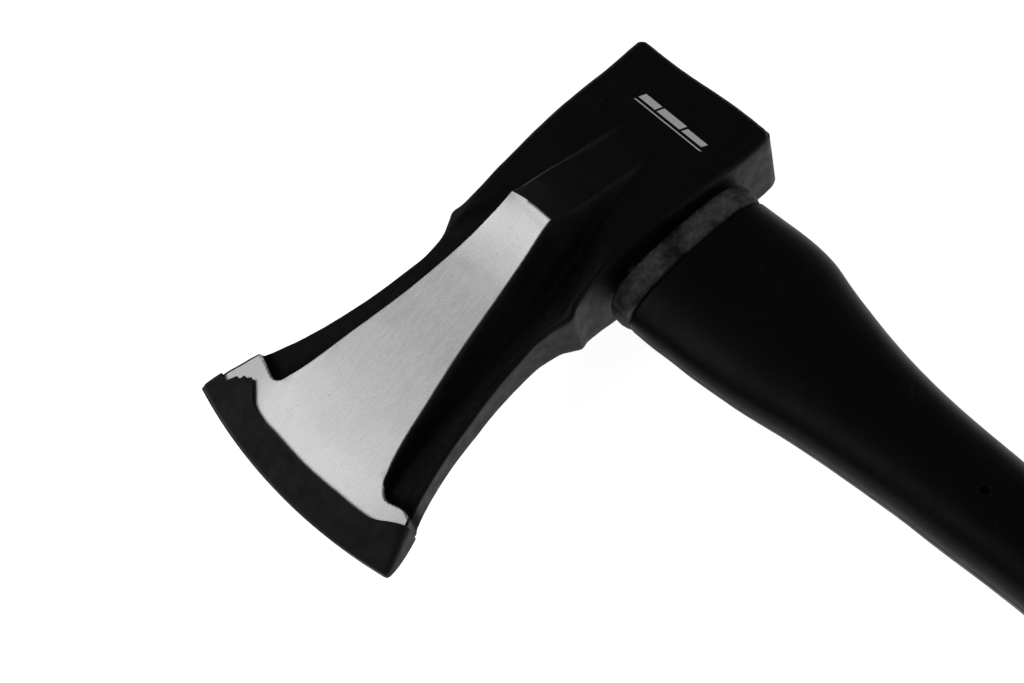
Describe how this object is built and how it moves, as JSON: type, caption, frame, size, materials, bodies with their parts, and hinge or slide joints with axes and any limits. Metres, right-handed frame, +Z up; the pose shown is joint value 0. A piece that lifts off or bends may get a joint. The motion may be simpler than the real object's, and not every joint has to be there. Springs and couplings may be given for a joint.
{
  "type": "splitting maul",
  "caption": "Splitting maul with a black forged wedge head, ground steel rib and bevel, pull-off edge guard, rubber collar and long moulded glass-fibre-cored handle.",
  "frame": {"origin": "centre of the poll face, on the head's mid-plane", "axes": "+X along the handle from the head to the butt, +Y out of the poll face so the cutting edge points to -Y, +Z up through the cheek with the maul lying on its side"},
  "size_m": [0.9089, 0.1989, 0.0644],
  "materials": {
    "forged_head": "satin black paint over forged steel, with a ground bare-steel rib and bevel",
    "guard_rubber": "matte black soft plastic",
    "collar_rubber": "dusty grey-black rubber",
    "jacket_plastic": "satin black moulded plastic",
    "grip_rubber": "matte black soft rubber",
    "butt_plastic": "fine matte black plastic",
    "resin": "cast black-pigmented epoxy",
    "glass_fibre": "pultruded glass-fibre rod, straw coloured",
    "cap_plastic": "matte black plastic"
  },
  "bodies": {
    "maul": {"maul_head": "forged_head", "neck_collar": "collar_rubber", "handle_jacket": "jacket_plastic", "grip_sleeve": "grip_rubber", "butt_cap": "butt_plastic", "eye_resin": "resin", "core_rod": "glass_fibre", "eye_cap": "cap_plastic"},
    "guard": {"edge_guard": "guard_rubber"}
  },
  "joints": [
    {"name": "guard_pull_off", "type": "slide", "parent": "maul", "child": "guard", "axis": [0, -1, 0], "range_m": [0, 0.03]}
  ]
}
